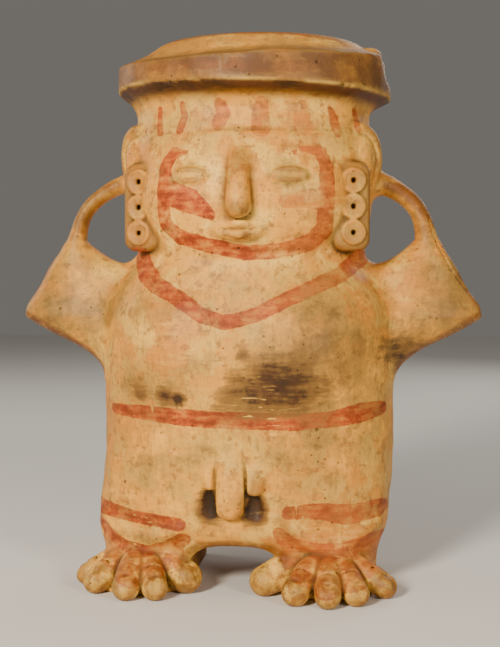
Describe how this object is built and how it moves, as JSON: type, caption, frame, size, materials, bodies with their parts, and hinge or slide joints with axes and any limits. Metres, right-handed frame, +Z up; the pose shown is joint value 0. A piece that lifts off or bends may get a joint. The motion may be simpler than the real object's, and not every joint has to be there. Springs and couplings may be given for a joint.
{
  "type": "anthropomorphic jug",
  "caption": "Hollow fired-clay jug shaped as a standing figure: wide keeled rim as its headdress, pierced ear discs, bent arms closing loops at the head, splayed feet.",
  "frame": {"origin": "bottom centre of the whole jug's box, on the surface it stands on", "axes": "+Z up, the figure faces -Y, +X towards the figure's left"},
  "size_m": [0.3104, 0.1708, 0.36],
  "materials": {
    "fired_clay": null
  },
  "bodies": {
    "root": {"jug": "fired_clay"}
  },
  "joints": []
}
